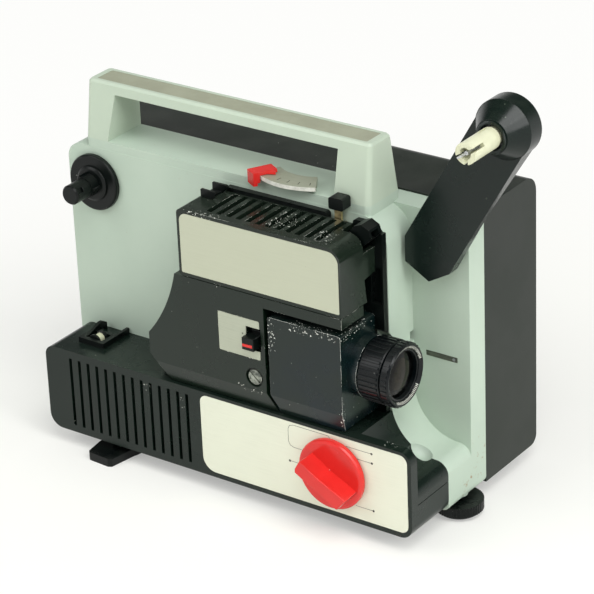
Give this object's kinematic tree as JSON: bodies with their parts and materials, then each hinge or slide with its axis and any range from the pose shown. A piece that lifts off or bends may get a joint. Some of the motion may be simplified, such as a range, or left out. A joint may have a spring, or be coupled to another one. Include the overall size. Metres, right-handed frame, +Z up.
{
  "type": "film projector",
  "caption": "Portable reel-to-reel film projector with a carrying handle, folding supply arm, zoom lens, lamp house and a turning mode knob.",
  "frame": {"origin": "on the floor, under the middle of the assembly's box with the supply arm raised", "axes": "+X along the housing towards the lens end, +Y from the controls to the rear cover, +Z up"},
  "size_m": [0.3158, 0.1536, 0.2686],
  "materials": {
    "base_plastic": "satin moulding",
    "shell_plastic": "satin moulding",
    "handle_plastic": "satin moulding",
    "inlay": "fine-grained strip",
    "cover_plastic": "fine-grained moulding",
    "black_plastic": "satin moulding",
    "block_metal": "satin paint on a casting",
    "lens_black": "black anodised",
    "red_plastic": "gloss moulding",
    "plate_silver": "satin sheet",
    "cream_plastic": "semi-gloss moulding",
    "steel": "plated",
    "brass": "turned",
    "rubber": "matt",
    "glass": "polished"
  },
  "bodies": {
    "chassis": {"base_housing": "base_plastic", "gate_panel": "base_plastic", "main_shell": "shell_plastic", "handle": "handle_plastic", "handle_inlay": "inlay", "rear_cover": "cover_plastic", "lamp_bulkhead": "black_plastic", "exit_guide": "black_plastic", "rotary_switch": "black_plastic", "mains_inlet": "black_plastic", "lens_block": "block_metal", "lens_barrel": "lens_black", "control_plate": "plate_silver", "format_plate": "plate_silver", "speed_scale": "plate_silver", "lamp_reflector": "plate_silver", "lamp_socket": "cream_plastic", "chassis_plate": "steel", "panel_screw": "steel", "aperture_plate": "steel", "filter_holder": "steel", "exit_pin": "steel", "film_cutter": "steel", "arm_pivot": "steel", "motor": "steel", "shaft_brackets": "steel", "transformer": "steel", "cover_screws": "steel", "take_up_bush": "brass", "take_up_belt": "rubber", "drive_belt": "rubber", "rubber_feet": "rubber", "lamp_bulb": "glass", "heat_filter": "glass"},
    "arm": {"supply_arm": "base_plastic"},
    "supply": {"supply_spindle": "cream_plastic", "spindle_clip": "steel"},
    "take_up": {"take_up_spindle": "black_plastic", "take_up_pulley": "steel"},
    "mode": {"mode_knob": "red_plastic"},
    "speed": {"speed_lever": "red_plastic"},
    "framing": {"framing_button": "black_plastic"},
    "format": {"format_slider": "black_plastic"},
    "cell": {"lens_cell": "lens_black", "lens_glass": "glass"},
    "focus": {"focus_ring": "lens_black"},
    "zoom": {"zoom_ring": "lens_black"},
    "cover": {"lamp_cover": "base_plastic", "lamp_cover_plate": "plate_silver", "rewind_guide": "black_plastic"},
    "swing": {"swing_foot": "black_plastic"},
    "level": {"level_foot": "rubber"},
    "wheel": {"level_wheel": "black_plastic"},
    "roller": {"exit_roller": "cream_plastic"},
    "shaft": {"main_shaft": "steel", "shutter": "lens_black"},
    "rotor": {"motor_rotor": "brass", "cooling_fan": "black_plastic"},
    "sprocket": {"sprocket_shaft": "steel"},
    "presser": {"pressure_plate": "steel"}
  },
  "joints": [
    {"name": "arm_fold", "type": "hinge", "parent": "chassis", "child": "arm", "pos_m": [0.0909, -0.00325, 0.1666], "axis": [0, 1, 0], "range_deg": [0, 148]},
    {"name": "supply_spin", "type": "hinge", "parent": "arm", "child": "supply", "pos_m": [0.1401, -0.03325, 0.25078], "axis": [0, 1, 0], "continuous": true},
    {"name": "take_up_spin", "type": "hinge", "parent": "chassis", "child": "take_up", "pos_m": [-0.1374, -0.02925, 0.164], "axis": [0, 1, 0], "continuous": true},
    {"name": "mode_knob_turn", "type": "hinge", "parent": "chassis", "child": "mode", "pos_m": [0.0572, -0.05925, 0.0402], "axis": [0, 1, 0], "range_deg": [-40, 120]},
    {"name": "speed_lever_swing", "type": "hinge", "parent": "chassis", "child": "speed", "pos_m": [0.0042, 0.01295, 0.179], "axis": [0, 0, 1], "range_deg": [0, 50]},
    {"name": "framing_slide", "type": "slide", "parent": "chassis", "child": "framing", "axis": [0, 0, 1], "range_m": [-0.004, 0.004]},
    {"name": "format_slide", "type": "slide", "parent": "chassis", "child": "format", "axis": [0, 0, 1], "range_m": [-0.0016, 0.0044]},
    {"name": "lens_slide", "type": "slide", "parent": "chassis", "child": "cell", "axis": [1, 0, 0], "range_m": [0, 0.004]},
    {"name": "focus_turn", "type": "hinge", "parent": "cell", "child": "focus", "pos_m": [0.0901, -0.03525, 0.101], "axis": [1, 0, 0], "range_deg": [0, 360]},
    {"name": "zoom_turn", "type": "hinge", "parent": "chassis", "child": "zoom", "pos_m": [0.0781, -0.03525, 0.101], "axis": [1, 0, 0], "range_deg": [0, 90]},
    {"name": "lamp_cover_pull", "type": "slide", "parent": "chassis", "child": "cover", "axis": [0, -1, 0], "range_m": [0, 0.06]},
    {"name": "swing_foot_turn", "type": "hinge", "parent": "chassis", "child": "swing", "pos_m": [-0.1105, -0.04375, 0.006], "axis": [0, 0, 1], "range_deg": [0, 90]},
    {"name": "level_slide", "type": "slide", "parent": "chassis", "child": "level", "axis": [0, 0, 1], "range_m": [-0.006, 0]},
    {"name": "level_turn", "type": "hinge", "parent": "level", "child": "wheel", "pos_m": [0.1046, -0.00125, 0.006], "axis": [0, 0, 1], "range_deg": [-1440, 0]},
    {"name": "exit_roller_spin", "type": "hinge", "parent": "chassis", "child": "roller", "pos_m": [-0.1294, -0.03925, 0.068], "axis": [0, 1, 0], "continuous": true},
    {"name": "main_shaft_spin", "type": "hinge", "parent": "chassis", "child": "shaft", "pos_m": [0.0001, -0.00925, 0.101], "axis": [1, 0, 0], "continuous": true},
    {"name": "motor_spin", "type": "hinge", "parent": "chassis", "child": "rotor", "pos_m": [-0.0799, 0.04875, 0.061], "axis": [1, 0, 0], "continuous": true},
    {"name": "sprocket_spin", "type": "hinge", "parent": "chassis", "child": "sprocket", "pos_m": [0.0351, -0.01425, 0.139], "axis": [0, 1, 0], "continuous": true},
    {"name": "pressure_plate_slide", "type": "slide", "parent": "chassis", "child": "presser", "axis": [1, 0, 0], "range_m": [0, 0.0015], "stiffness_N_per_m": 200, "springref_m": -0.001}
  ],
  "couplings": [
    {"joint": "lens_slide", "follows": "focus_turn", "m_per_rad": 0.00063662},
    {"joint": "level_slide", "follows": "level_turn", "m_per_rad": 0.00023873},
    {"joint": "main_shaft_spin", "follows": "motor_spin", "ratio": 0.59459},
    {"joint": "sprocket_spin", "follows": "motor_spin", "ratio": 0.04955}
  ]
}
